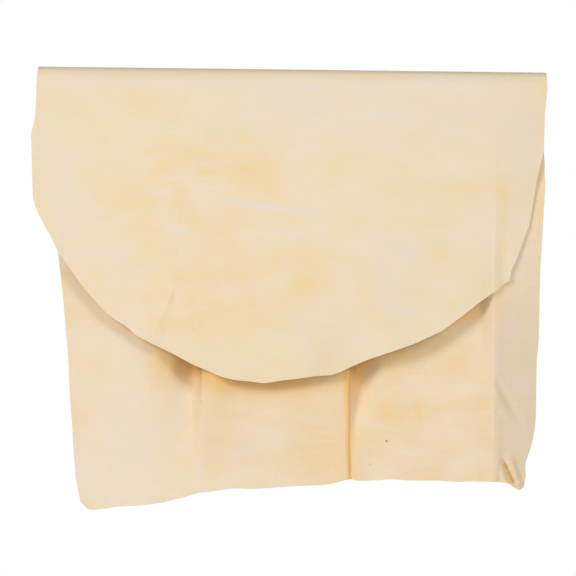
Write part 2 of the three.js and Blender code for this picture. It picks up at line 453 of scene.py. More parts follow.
@dataclass(frozen=True)
class Knuckle:
    """A border along a crease, rounded about the hinge's line, so that no gap opens as a panel folds.

    The folding panel's border is a convex arc, and it slides in the hollow border of the panel that it
    hangs on.
    """

    column: int
    folding_side: int
    axis: Array
    strength: Array
    clearance: Array
    bite: float = 0.01
    run_out: float = 8.0

    def shift(self, grid: Grid, across: Array, members: Array) -> Array:
        """Round one panel's border.

        Args:
            grid: The points of the whole leaf.
            across: Distances from the middle surface along the normals, one for each layer.
            members: Which cells of the grid belong to the panel.

        Returns:
            How far each point of each layer moves.
        """
        left, right = members[:, self.column - 1], members[:, self.column]
        bordered = left != right
        if not bordered.any():
            return np.zeros((len(across), *grid.points.shape))
        rows = np.zeros(len(grid.points), bool)
        rows[:-1] |= bordered
        rows[1:] |= bordered
        along = np.gradient(grid.points, axis=1) * -self.folding_side
        along /= np.linalg.norm(along, axis=2, keepdims=True)
        out = grid.points[:, self.column] - self.axis
        beside = (out * along[:, self.column]).sum(axis=1)
        off = (out * grid.normals[:, self.column]).sum(axis=1) + across[:, None]
        radius = np.abs(off).max(axis=0) + self.bite
        reach = np.sqrt(radius**2 - off**2) - beside
        folding = (right if self.folding_side > 0 else left)[bordered].any()
        away = (grid.points[..., 0] - grid.points[:, [self.column], 0]) * -self.folding_side
        if folding:
            reach = reach - self.clearance
            share = np.where(away == 0, 1.0, 0.0)
        else:
            share = np.where(away >= 0, 1 - ramp(away, 0.0, self.run_out), 0.0)
        reach = reach * np.where(rows, self.strength, 0.0)
        return (reach[..., None] * share)[..., None] * along


def surface_normals(points: Array) -> Array:
    """Work out the unit normals of a grid of points.

    Args:
        points: Rows of points.

    Returns:
        Normals on the side that the cross product of a row and a column points to.
    """
    normals = np.cross(np.gradient(points, axis=1), np.gradient(points, axis=0))
    return normals / np.linalg.norm(normals, axis=2, keepdims=True)


def closed_sheet(
    name: str, grid: Grid, members: Array, first: Layer, knuckles: Sequence[Knuckle] = ()
) -> bpy.types.Object:
    """Build one piece of skin as a closed sheet with two sides and a cut edge.

    Args:
        name: The piece's name.
        grid: The points of the whole leaf.
        members: Which cells of the grid belong to the piece.
        first: The layer on the side against the grid's normals.
        knuckles: The borders to round.

    Returns:
        The piece, in metres, in the frame.
    """
    used = np.zeros(grid.points.shape[:2], bool)
    for rows in (slice(None, -1), slice(1, None)):
        for columns in (slice(None, -1), slice(1, None)):
            used[rows, columns] |= members
    across = np.linspace(-THICKNESS / 2, THICKNESS / 2, RIM_STEPS + 1)
    layers = grid.points + across[:, None, None, None] * grid.normals
    layers = layers + sum(knuckle.shift(grid, across, members) for knuckle in knuckles)
    number = np.full((len(across), *used.shape), -1)
    number[:, used] = np.arange(number[:, used].size).reshape(len(across), -1)

    a, b = number[:, :-1, :-1], number[:, :-1, 1:]
    d, e = number[:, 1:, :-1], number[:, 1:, 1:]
    near = np.stack([corner[0][members] for corner in (a, d, e, b)], axis=1)
    far = np.stack([corner[-1][members] for corner in (b, e, d, a)], axis=1)
    around, leaf = np.pad(members, 1), np.pad(np.ones_like(members), 1)
    open_sides = (
        (a, d, slice(1, -1), slice(None, -2)),
        (d, e, slice(2, None), slice(1, -1)),
        (e, b, slice(1, -1), slice(2, None)),
        (b, a, slice(None, -2), slice(1, -1)),
    )
    rims = {Layer.CUT: [], Layer.INNER: []}
    for start, end, rows, columns in open_sides:
        bare = members & ~around[rows, columns]
        for layer, there in ((Layer.CUT, ~leaf[rows, columns]), (Layer.INNER, leaf[rows, columns])):
            p, q = start[:, bare & there], end[:, bare & there]
            rims[layer].append(np.stack([q[:-1], p[:-1], p[1:], q[1:]], axis=2).reshape(-1, 4))
    cut, border = (np.concatenate(rims[layer]) for layer in (Layer.CUT, Layer.INNER))
    faces = np.concatenate([near, far, cut, border])
    kept, faces = np.unique(faces, return_inverse=True)
    faces = faces.reshape(-1, 4)
    points = layers[:, used].reshape(-1, 3)[kept]
    centre = points.mean(axis=0)
    points = centre + (points - centre) * HAIRLINE

    mesh = bpy.data.meshes.new(name)
    mesh.from_pydata((points * MM).tolist(), [], faces.tolist(), shade_flat=False)
    second = Layer.INNER if first is Layer.OUTER else Layer.OUTER
    counts = [len(near), len(far), len(cut), len(border)]
    slots = np.repeat([first, second, Layer.CUT, Layer.INNER], counts)
    mesh.polygons.foreach_set("material_index", slots.astype(np.int32))

    flat = np.tile(grid.flat[used], (len(across), 1))[kept] * MM
    mesh.uv_layers.new(name=FLAT_MAP).data.foreach_set("uv", flat[faces.ravel()].ravel())
    for tint, strength in grid.tints.items():
        attribute = mesh.attributes.new(tint.value, "FLOAT", "POINT")
        values = np.tile(strength[used], len(across))[kept]
        attribute.data.foreach_set("value", values.astype(np.float32))

    sides = np.tile(grid.normals[used], (len(across), 1))[kept]
    corners = points[faces[counts[0] + counts[1] :]]
    rim_normals = np.cross(corners[:, 1] - corners[:, 3], corners[:, 2] - corners[:, 0])
    rim_normals /= np.linalg.norm(rim_normals, axis=1, keepdims=True)
    shading = np.concatenate([
        -sides[faces[: counts[0]]],
        sides[faces[counts[0] : counts[0] + counts[1]]],
        np.repeat(rim_normals[:, None], 4, axis=1),
    ])
    mesh.normals_split_custom_set(shading.reshape(-1, 3).tolist())
    piece = bpy.data.objects.new(name, mesh)
    bpy.context.scene.collection.objects.link(piece)
    return piece


class Shading:
    """A new material, with short ways to add the nodes that the finishes share."""

    def __init__(self, name: str) -> None:
        """Start a material of that name with a plain shader."""
        self.material = bpy.data.materials.new(name)
        self.material.use_nodes = True

    def add(
        self, kind: str, inputs: Inputs | None = None, output: int | str = 0, **settings: object
    ) -> Socket:
        """Add a node.

        Args:
            kind: The node's type.
            inputs: Values and sockets for its inputs.
            output: The output to go on from.
            **settings: The node's own properties.

        Returns:
            That output.
        """
        return add_node(self.material.node_tree, kind, inputs, **settings).outputs[output]

    def noise(self, place: Socket, size_mm: float, detail: float, dimensions: str = "2D") -> Socket:
        """Add noise whose grains have a real size."""
        inputs = {"Vector": place, "Scale": 1 / (size_mm * MM), "Detail": detail}
        return self.add("TexNoise", inputs, noise_dimensions=dimensions)

    def maths(self, operation: str, *values: float | Socket, clamp: bool = False) -> Socket:
        """Work out a value from others."""
        return self.add("Math", dict(enumerate(values)), operation=operation, use_clamp=clamp)

    def remap(self, value: Socket, span: Point, gain: Point) -> Socket:
        """Stretch a span of values to another span, and hold it at its ends."""
        ends = dict(zip(("From Min", "From Max", "To Min", "To Max"), (*span, *gain)))
        return self.add("MapRange", {"Value": value, **ends})

    def mix(self, share: Socket, one: Colour | Socket, other: Colour) -> Socket:
        """Lay a share of another colour over one."""
        return self.add("Mix", {"Factor": share, 6: one, 7: other}, output=2, data_type="RGBA")

    def finish(self, inputs: Inputs) -> bpy.types.Material:
        """Give the plain shader its inputs, and hand over the material."""
        tree = self.material.node_tree
        fill(tree, tree.nodes["Principled BSDF"], inputs)
        return self.material


@dataclass(frozen=True)
class Speck:
    """A small round mark on the skin, at its flat place, full within its core and faded at its rim."""

    place: Point
    radius: float
    strength: float
    core: float = 0.4

    def cover(self, shading: Shading, flat: Socket) -> Socket:
        """Draw the mark.

        Args:
            shading: The material that shows it.
            flat: The skin's flat coordinates.

        Returns:
            Its strength at each place.
        """
        middle = (self.place[0] * MM, self.place[1] * MM, 0)
        away = shading.add("VectorMath", {0: flat, 1: middle}, output="Value", operation="DISTANCE")
        return shading.remap(away, (self.radius * MM, self.core * self.radius * MM), (0, self.strength))


@dataclass(frozen=True)
class BuffedSuede:
    """Oil-tanned sheepskin, buffed to a short nap: matt, cream, with yellow clouds and pale streaks.

    The oil yellows the skin in soft clouds, buffing leaves pale streaks along the rail's direction, and
    the nap gives it no gloss but a faint sheen at grazing angles. A span of a pattern is what is drawn
    of it, and a gain is the strength that the span's ends get.
    """

    name: str
    cream: str
    yellow: str
    pale: str
    # Colour of the painted shade on the crown and in the corner's slit, and of the specks
    shade_and_specks: str
    # Colour of the painted warm shade behind the front leaf's hem, none on the outer side
    warm_shade_colour: str | None
    shift: float
    clouds: float
    specks: tuple[Speck, ...] = ()
    pattern_roughness: float = 0.62
    pattern_bend: float = 0.35
    cloud_mm: Point = (58.0, 36.0)
    cloud_detail: float = 6
    cloud_span: Point = (0.48, 0.97)
    cloud_gain: Point = (0.15, 1.75)
    streak_mm: Point = (34.0, 4.0)
    streak_detail: float = 5
    streak_span: Point = (0.34, 0.66)
    streak_gain: Point = (0.3, 1.3)
    streak_in_clouds: float = 0.45
    streak_relief: float = 0.8
    wisps: float = 0.14
    # The real nap is under half a millimetre long, and it is drawn coarser so that it shows
    nap_mm: float = 1.4
    nap_detail: float = 2
    nap_span: Point = (0.3, 0.7)
    nap_gain: Point = (0.975, 1.02)
    nap_height_mm: float = 0.1
    nap_relief: float = 0.5
    roughness: float = 0.9
    gloss: float = 0.25
    sheen: float = 0.08
    sheen_roughness: float = 0.6

    def pattern(self, shading: Shading, place: Socket, size_mm: Point, detail: float) -> Socket:
        """Draw one of the skin's soft patterns.

        Args:
            shading: The material that shows it.
            place: Places on the skin.
            size_mm: The pattern's size along the rail and down the skin.
            detail: How many times it repeats finer.

        Returns:
            Its strength at each place.
        """
        scale = (1 / (size_mm[0] * MM), 1 / (size_mm[1] * MM), 1)
        drawn = shading.add("Mapping", {"Vector": place, "Scale": scale})
        inputs = {
            "Vector": drawn, "Scale": 1, "Detail": detail,
            "Roughness": self.pattern_roughness, "Distortion": self.pattern_bend,
        }
        return shading.add("TexNoise", inputs, noise_dimensions="2D")

    def material(self) -> bpy.types.Material:
        """Make the finish.

        Returns:
            A node material that follows the skin's flat coordinates.
        """
        shading = Shading(self.name)
        flat = shading.add("UVMap", uv_map=FLAT_MAP)
        place = shading.add("Mapping", {"Vector": flat, "Location": (self.shift, self.shift, 0)})
        clouds = self.pattern(shading, place, self.cloud_mm, self.cloud_detail)
        streaks = self.pattern(shading, place, self.streak_mm, self.streak_detail)
        nap = shading.noise(place, self.nap_mm, self.nap_detail)
        tints = {
            tint: shading.add("Attribute", output="Fac", attribute_name=tint.value) for tint in Tint
        }

        mottle = shading.maths("MULTIPLY_ADD", streaks, self.streak_in_clouds, clouds)
        clouded = shading.remap(mottle, self.cloud_span, self.cloud_gain)
        base = shading.maths("MULTIPLY", clouded, self.clouds)
        yellow = shading.maths("MULTIPLY_ADD", tints[Tint.YELLOW], clouded, base, clamp=True)
        streaked = shading.remap(streaks, self.streak_span, self.streak_gain)
        buffed = shading.maths("ADD", tints[Tint.PALE], self.wisps)
        pale = shading.maths("MULTIPLY", buffed, streaked, clamp=True)
        # Painted shade on the crown and in the corner's slit, with the specks
        shade_and_specks = tints[Tint.PAINTED_SHADE]
        for speck in self.specks:
            shade_and_specks = shading.maths("MAXIMUM", shade_and_specks, speck.cover(shading, flat))

        colour = shading.mix(yellow, linear(self.cream), linear(self.yellow))
        colour = shading.mix(pale, colour, linear(self.pale))
        # Painted shade: warm, darker colour where the front leaf's hem shades the skin
        if self.warm_shade_colour:
            colour = shading.mix(tints[Tint.PAINTED_WARM_SHADE], colour, linear(self.warm_shade_colour))
        colour = shading.mix(shade_and_specks, colour, linear(self.shade_and_specks))
        shade = shading.remap(nap, self.nap_span, self.nap_gain)
        colour = shading.add("VectorMath", {0: colour, "Scale": shade}, operation="SCALE")
        height = shading.maths("MULTIPLY_ADD", streaks, self.streak_relief, nap)
        relief = {"Height": height, "Strength": self.nap_relief, "Distance": self.nap_height_mm * MM}
        return shading.finish({
            "Base Color": colour,
            "Normal": shading.add("Bump", relief),
            "Roughness": self.roughness,
            "Specular IOR Level": self.gloss,
            "Sheen Weight": self.sheen,
            "Sheen Roughness": self.sheen_roughness,
            "Sheen Tint": linear(self.pale),
        })


@dataclass(frozen=True)
class RawCutEdge:
    """The raw edge of the skin where it was cut: pale, fibrous and a little frayed, with no sheen."""

    name: str = "raw_cut_chamois_edge"
    fibre: str = "#efe0c2"
    gap: str = "#d3b88a"
    fibre_mm: float = 1.6
    detail: float = 3
    roughness: float = 0.95
    gloss: float = 0.2

    def material(self) -> bpy.types.Material:
        """Make the finish.

        Returns:
            A node material of loose fibres.
        """
        shading = Shading(self.name)
        fibres = shading.noise(shading.add("UVMap", uv_map=FLAT_MAP), self.fibre_mm, self.detail)
        colour = shading.mix(fibres, linear(self.gap), linear(self.fibre))
        return shading.finish(
            {"Base Color": colour, "Roughness": self.roughness, "Specular IOR Level": self.gloss}
        )


@dataclass(frozen=True)
class PaintedFloor:
    """A plain studio floor, painted matt off-white, which takes the shadow softly."""

    name: str = "matt_white_floor_paint"
    paint: str = "#f3f2ef"
    roughness: Point = (0.8, 0.9)
    mottle_mm: float = 60.0
    detail: float = 3

    def material(self) -> bpy.types.Material:
        """Make the finish.

        Returns:
            A node material with the faint unevenness of rolled paint.
        """
        shading = Shading(self.name)
        place = shading.add("TexCoord", output="Object")
        rolled = shading.noise(place, self.mottle_mm, self.detail, dimensions="3D")
        uneven = shading.remap(rolled, (0, 1), self.roughness)
        return shading.finish({"Base Color": linear(self.paint), "Roughness": uneven})


@dataclass(frozen=True)
class SkinFinish:
    """The materials of the skin's two sides and of its cut edge, in the order of their slots."""

    outer: bpy.types.Material
    inner: bpy.types.Material
    cut: bpy.types.Material

    def dress(self, piece: bpy.types.Object) -> None:
        """Give a piece its three materials."""
        for material in (self.outer, self.inner, self.cut):
            piece.data.materials.append(material)


def declare(
    piece: bpy.types.Object, node: str
) -> None:
    """Read a piece of skin's flat places, and hide the frame's part that it replaces.

    Args:
        piece: The piece of skin.
        node: The frame's node that it replaces.
    """
    places = np.zeros(len(piece.data.loops) * 2, np.float32)
    piece.data.uv_layers[FLAT_MAP].data.foreach_get("uv", places)
    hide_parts(node)


@dataclass(frozen=True)
class Leaf:
    """One leaf of the skin: its cut outline, its creases, the way it hangs and its colours."""

    side: Side
    slot: str
    left_edge: Sequence[Point]
    right_edge: Sequence[Point]
    hem: Sequence[Point]
    creases: Sequence[Crease]
    turns: Point
    turn_spans: tuple[Point, Point]
    levels: Sequence[Level]
    bellies: Sequence[Belly]
    wrinkles: Sequence[Stroke]
    stains_and_shade: StainsAndShade
    panels: Sequence[Panel]
    column_cells: Sequence[float]
    row_cells: Sequence[float]
    laps: Sequence[Lap] = ()
    dents: Sequence[Dent] = ()
    rounding: float = 4.0
    crowding: float = 0.7
    cockle: float = 0.175
    cockle_full: float = 80.0
    cockle_waves: Sequence[tuple[float, float, float]] = ((23, 31, 0), (37, -19, 2), (-61, 27, 0))

    def set_back(self, x: Array, depth: Array) -> Array:
        """Shape the hanging skin.

        Args:
            x: Places along the rail.
            depth: Their depths.

        Returns:
            How far the skin stands back from the leaf's plane.
        """
        lines = [crease.line(depth) for crease in self.creases]
        (first_x, first_set), (last_x, last_set) = lines[0], lines[-1]
        left_turn, right_turn = (
            math.tan(math.radians(turn)) * ramp(depth, *span)
            for turn, span in zip(self.turns, self.turn_spans)
        )
        past = x - last_x
        turned = right_turn * (np.where(past > 0, past, 0) + self.rounding * self.roundness(past))
        back = np.where(x < first_x, first_set + left_turn * (first_x - x), last_set + turned)
        for number, ((x0, set0), (x1, set1)) in enumerate(zip(lines, lines[1:]), 2):
            panel = set0 + (set1 - set0) * (x - x0) / (x1 - x0)
            if number == len(lines):
                panel = panel + turned
            back = np.where((x >= x0) & (x < x1), panel, back)
        for relief in (*self.bellies, *self.laps):
            back = back + relief.set_back(lines[relief.crease][0], x, depth)
        for dent in self.dents:
            back = back + dent.set_back(x, depth)
        for wrinkle in self.wrinkles:
            back = back + wrinkle.cover(x, depth)
        cockles = sum(np.sin(x / wide + depth / high + phase) for wide, high, phase in self.cockle_waves)
        return back + self.cockle * cockles * ramp(depth, LEAF_TOP, self.cockle_full)

    def roundness(self, past: Array) -> Array:
        """Round a sharp crease off on both sides without moving its own line."""
        near = np.clip(1 - np.abs(past) / self.rounding, 0, 1)
        return (near**2 - bump(past / (3 * self.rounding))) / 4

    def places(self) -> tuple[Array, Array, Array, Array]:
        """Lay out the leaf's grid between its edges, creases, levels and hem.

        Returns:
            The x and depth of each point, the stretch of each column of cells and the level of each row.
        """
        left, right, hem = (cut_line(points) for points in (self.left_edge, self.right_edge, self.hem))
        bounds = [left, *(lambda depth, c=crease: c.line(depth)[0] for crease in self.creases), right]
        hem_depths = [float(hem(self.hem[0][0]))]
        for crease in self.creases:
            depth = float(hem(crease.line(self.hem[0][1])[0]))
            hem_depths.append(float(hem(crease.line(depth)[0])))
        hem_depths.append(float(hem(self.hem[-1][0])))
        hem_xs = [float(bound(depth)) for bound, depth in zip(bounds, hem_depths)]
        stops = [
            [LEAF_TOP, *(level(depth, bound is right) for level in self.levels), depth]
            for bound, depth in zip(bounds, hem_depths)
        ]

        columns, stretches = [], []
        for stretch, (from_x, to_x) in enumerate(zip(hem_xs, hem_xs[1:])):
            count = round((to_x - from_x) / self.column_cells[stretch])
            even = np.linspace(0, 1, count + 1)
            crowded = (1 - np.cos(math.pi * even)) / 2
            shares = between((even, crowded), self.crowding)
            columns.append((stretch, shares if stretch == 0 else shares[1:]))
            stretches += [stretch] * count

        xs, depths, levels = [], [], []
        for level in range(len(self.levels) + 1):
            tallest = max(stop[level + 1] - stop[level] for stop in stops)
            count = round(tallest / self.row_cells[level])
            last = level == len(self.levels)
            levels += [level] * count
            for share in np.linspace(0, 1, count + 1)[: None if last else -1]:
                on_bounds = [between(stop[level : level + 2], share) for stop in stops]
                row_x, row_depth = [], []
                for stretch, shares in columns:
                    pair = slice(stretch, stretch + 2)
                    ends = [float(bound(depth)) for bound, depth in zip(bounds[pair], on_bounds[pair])]
                    row_x.append(between(ends, shares))
                    depth = between(on_bounds[pair], shares)
                    if last:
                        off_line = hem(between(hem_xs[pair], shares)) - between(hem_depths[pair], shares)
                        depth = depth + off_line * share
                    row_depth.append(depth)
                xs.append(np.concatenate(row_x))
                depths.append(np.concatenate(row_depth))
        return np.array(xs), np.array(depths), np.array(stretches), np.array(levels)

    def grid(self, x: Array, depth: Array) -> Grid:
        """Hang the leaf's grid.

        Args:
            x: Places along the rail.
            depth: Their depths.

        Returns:
            The hung grid, with its colours.
        """
        y = self.side.value * MID_RADIUS + self.set_back(x, depth)
        points = np.stack([x, y, TOP_Z - depth], axis=2)
        down = depth - OUTER_RADIUS + MID_RADIUS * math.pi / 2
        flat = np.stack([x, self.side.value * down], axis=2)
        tints = {tint: np.zeros_like(x) for tint in Tint}
        # Painted shade: grey towards the crown of the fold, where the leaf meets it
        tints[Tint.PAINTED_SHADE] += CrownShade().cover(flat[..., 1])
        for tint, marks in self.stains_and_shade:
            for mark in marks:
                tints[tint] += mark.cover(x, depth)
        return Grid(points, surface_normals(points), flat, tints)

    def knuckles(self, points: Array, depth: Array, stretches: Array) -> tuple[Knuckle, ...]:
        """Find the borders that fold along the creases.

        Args:
            points: The hung grid.
            depth: The depths of its points.
            stretches: The stretch of each column of cells.

        Returns:
            One knuckle for each crease.
        """
        found = []
        for number, crease in enumerate(self.creases):
            column = int(np.argmax(stretches > number))
            down = depth[:, column]
            x, back = crease.line(down)
            off_skin = self.side.value * (MID_RADIUS + crease.hinge_off_skin)
            axis = np.stack([x, off_skin + back, TOP_Z - down], axis=1)
            ahead = self.side.value * (axis - points[:, column])[:, 1]
            strength = ramp(down, crease.start, crease.start + crease.fade)
            strength = strength * ramp(ahead, *crease.nearest) * (1 - ramp(ahead, *crease.farthest))
            more = ramp(down, *(down[-1] - height for height in crease.hem_heights))
            clearance = crease.play + crease.hem_play * more
            found.append(Knuckle(column, -1 if number == 0 else 1, axis, strength, clearance))
        return tuple(found)

    def build(self, finish: SkinFinish) -> None:
        """Build the leaf's pieces, dress them, hide the frame's parts that they replace and bake their
        transforms.

        Args:
            finish: The skin's materials.
        """
        x, depth, stretches, levels = self.places()
        grid = self.grid(x, depth)
        knuckles = self.knuckles(grid.points, depth, stretches)
        first = Layer.OUTER if self.side is Side.FRONT else Layer.INNER
        for panel in self.panels:
            members = np.array([[(s, lv) in panel.cells for s in stretches] for lv in levels])
            piece = closed_sheet(f"{panel.node}_skin", grid, members, first, knuckles)
            finish.dress(piece)
            declare(piece, panel.node)
            self.bend(piece, panel)

    def bend(self, piece: bpy.types.Object, panel: Panel) -> None:
        """Bake a piece's transform into its mesh.

        Args:
            piece: The piece of skin.
            panel: Its place and bend; not used.
        """
        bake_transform(piece)


@dataclass(frozen=True)
class TopFold:
    """The skin over the rail, from the top of one leaf to the top of the other."""

    node: str = "top_fold"
    slot: str = "outer_side"
    arc_rows: int = 36
    columns: int = 210
    # Painted shade: share of warm, darker colour on the inside of the fold, which faces the rail
    painted_warm_shade: float = 0.6

    def build(self, finish: SkinFinish, front: Leaf, back: Leaf) -> None:
        """Build the fold, dress it and tie it to its body.

        Args:
            finish: The skin's materials.
            front: The leaf in front, whose top edge the fold meets.
            back: The leaf behind.
        """
        turn = np.linspace(math.pi, 0, self.arc_rows)
        turn = np.concatenate([[math.pi], turn, [0.0]])[:, None]
        drop = np.zeros_like(turn)
        drop[[0, -1]] = FOLD_SKIRT
        lean = (1 - np.cos(turn)) / 2
        edges = ((front.left_edge, back.left_edge), (front.right_edge, back.right_edge))
        ends = [between([float(cut_line(edge)(LEAF_TOP)) for edge in pair], lean) for pair in edges]
        x = between(ends, np.linspace(0, 1, self.columns))
        y = -MID_RADIUS * np.cos(turn)
        z = FOLD_CENTRE_Z + MID_RADIUS * np.sin(turn) - drop
        way = MID_RADIUS * (turn - math.pi / 2) + drop * np.sign(turn - math.pi / 2)
        points = np.stack(np.broadcast_arrays(x, y, z), axis=2)
        flat = np.stack(np.broadcast_arrays(x, way), axis=2)
        outward = np.stack(np.broadcast_arrays(0 * x, y / MID_RADIUS, np.sin(turn)), axis=2)
        tints = {tint: np.zeros_like(x) for tint in Tint}
        # Painted shade: grey on the crown of the fold
        tints[Tint.PAINTED_SHADE] += CrownShade().cover(flat[..., 1])
        # Painted shade: warm, darker colour inside the fold
        tints[Tint.PAINTED_WARM_SHADE] += self.painted_warm_shade
        grid = Grid(points, -outward, flat, tints)
        members = np.ones((x.shape[0] - 1, x.shape[1] - 1), bool)
        piece = closed_sheet(f"{self.node}_skin", grid, members, Layer.OUTER)
        finish.dress(piece)
        declare(piece, self.node)
        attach(piece, "fold")


def cells(stretches: Iterable[int], levels: Iterable[int]) -> frozenset[tuple[int, int]]:
    """Collect the (stretch, level) cells where some stretches and levels cross."""
    return frozenset(product(stretches, levels))


@dataclass(frozen=True)
class FrontLeaf(Leaf):
    """The short D-shaped leaf in front, as the photograph shows it."""

    side: Side = Side.FRONT
    slot: str = "outer_side"
    left_edge: Sequence[Point] = (
        (0, -252.9), (19, -254.5), (37, -254.9), (54, -256.3), (63.5, -259), (67, -259.8), (83, -259),
        (108, -258.1), (133, -256.9), (146, -252.1), (160, -244.6), (173, -237), (186, -230.8),
    )
    right_edge: Sequence[Point] = (
        (0, 252.9), (7, 254.5), (16, 255.3), (27, 254.5), (40, 253.3), (79, 252.7), (96.6, 248.3),
        (110, 245.7), (130, 242.7), (153.5, 238.7), (170, 232.7), (187, 226.7), (198, 221.7),
        (208, 219.7),
    )
    hem: Sequence[Point] = (
        (-230.8, 186), (-213.3, 209.5), (-203.3, 223), (-192.3, 235), (-181.3, 246.5), (-168.8, 255),
        (-160.3, 260), (-152.7, 267.6), (-142.8, 272.4), (-129.3, 279), (-112.1, 287), (-96.3, 295.5),
        (-77.8, 303), (-69.3, 307), (-53.3, 311), (-38.3, 312), (-23.8, 314), (-5.3, 310.5), (9.2, 309),
        (26.3, 306), (44.7, 305), (52.7, 301.7), (61.7, 297), (79.7, 289), (95.7, 283.4), (113.7, 277),
        (124.7, 273), (139.4, 266), (154.1, 259), (160.3, 254), (173.7, 244), (190.7, 230), (206.3, 219),
        (212.3, 214), (219.7, 208),
    )
    creases: Sequence[Crease] = (
        Crease("front_left_wing_fold", Side.FRONT), Crease("front_right_wing_fold", Side.FRONT),
    )
    turns: Point = (1.5, 4.8)
    turn_spans: tuple[Point, Point] = ((LEAF_TOP, BAND), (LEAF_TOP, BAND))
    levels: Sequence[Level] = (lambda hem_depth, at_right: BAND,)
    bellies: Sequence[Belly] = (
        Belly(0, -30, 246, 40, 28, 60, 60, 1.2), Belly(1, -147, 225, 130, 130, 150, 150, -2.0),
        Belly(1, 12, 212, 34, 34, 100, 50, 2.4), Belly(1, -148, 308, 48, 44, 90, 40, 6.0),
    )
    dents: Sequence[Dent] = (Dent((-113, 216), (-138, 276), (-77, 303), 2.0),)
    wrinkles: Sequence[Stroke] = strokes(
        (-0.8, (-113, 214), (-139.5, 280), 2.4, (0.3, 0)),
        (-0.55, (-112, 218), (-76, 308), 2.4, (0.4, 0)), (0.3, (53, 10), (52, 190), 3.5, (0.3, 0.4)),
        (0.25, (146, 10), (146, 130), 3.5, (0.3, 0.4)), (-0.4, (206, 100), (206.5, 235), 5, (0.5, 0)),
        (0.8, (213.5, 140), (214, 225), 6, (0.5, 0)), (0.7, (209.5, 216), (217, 207.5), 1.6),
        (1.2, (-257, 4), (-258, 62), 9),
    )
    stains_and_shade: StainsAndShade = (
        # Painted shade: warm, darker colour on the front leaf's inner side, which faces the back leaf,
        # fading out towards the hem
        (Tint.PAINTED_WARM_SHADE, (HemShade(0.6, hem, -40, 0),)),
        (Tint.PALE, strokes(
            (0.4, (-64, 36), (70, 34), 33, (0.25, 0.35)), (0.2, (-190, 44), (230, 40), 60, (0.3, 0.3)),
            (0.32, (234, 30), (230, 165), 24, (0.3, 0.3)), (0.35, (50, 34), (140, 36), 28),
            (0.34, (120, 44), (250, 50), 46, (0.3, 0.1)),
            (0.38, (-250, 14), (250, 12), 15, (0.05, 0.05)),
            (0.36, (-246, 50), (-205, 230), 34, (0.3, 0.3)), (1.0, (-92, 130), (62, 148), 7),
            (1.0, (-140, 157), (-78, 172), 4), (0.6, (-152, 126), (-110, 122), 4.5),
            (0.4, (-44, 149), (18, 166), 14), (0.25, (-178, 170), (-168, 228), 26),
            (0.45, (76, 162), (146, 198), 26), (0.5, (68, 186), (124, 230), 24),
            (0.36, (-8, 224), (28, 298), 27), (0.5, (78, 226), (136, 254), 17),
        )),
        (Tint.YELLOW, strokes(
            (0.15, (-200, 84), (50, 114), 78, (0.25, 0.3)),
            (0.2, (-180, 242), (70, 224), 84, (0.25, 0.25)), (0.12, (-186, 41), (-68, 46), 22),
            (0.08, (-118, 74), (22, 122), 46), (0.1, (-204, 130), (-90, 148), 30),
            (0.12, (-210, 188), (-184, 218), 17), (0.1, (-6, 222), (64, 212), 24),
            (0.2, (-130, 160), (-30, 178), 26), (0.2, (-34, 200), (-6, 206), 20),
            (-0.1, (-14, 166), (80, 176), 26), (-0.1, (10, 268), (100, 256), 30),
            (-0.14, (-216, 40), (-208, 84), 28), (0.45, (-98, 104), (-70, 108), 20),
            (0.32, (-158, 236), (-126, 242), 24), (-0.1, (-34, 70), (60, 72), 34),
            (-0.12, (-36, 108), (30, 112), 26), (0.14, (142, 160), (163, 198), 12),
            (0.1, (108, 84), (121, 122), 13), (0.5, (212, 100), (213, 218), 8),
        )),
    )
    panels: Sequence[Panel] = (
        Panel("front_flap", cells(range(3), (0,)) | cells((1,), (1,)), Bend("fold", LEAF_TOP, 28)),
        Panel("front_left_wing", cells((0,), (1,)), Bend("front_flap", BAND, 250)),
        Panel("front_right_wing", cells((2,), (1,)), Bend("front_flap", BAND, 205)),
    )
    column_cells: Sequence[float] = (2.4, 2.4, 1.6)
    row_cells: Sequence[float] = (2.4, 2.2)


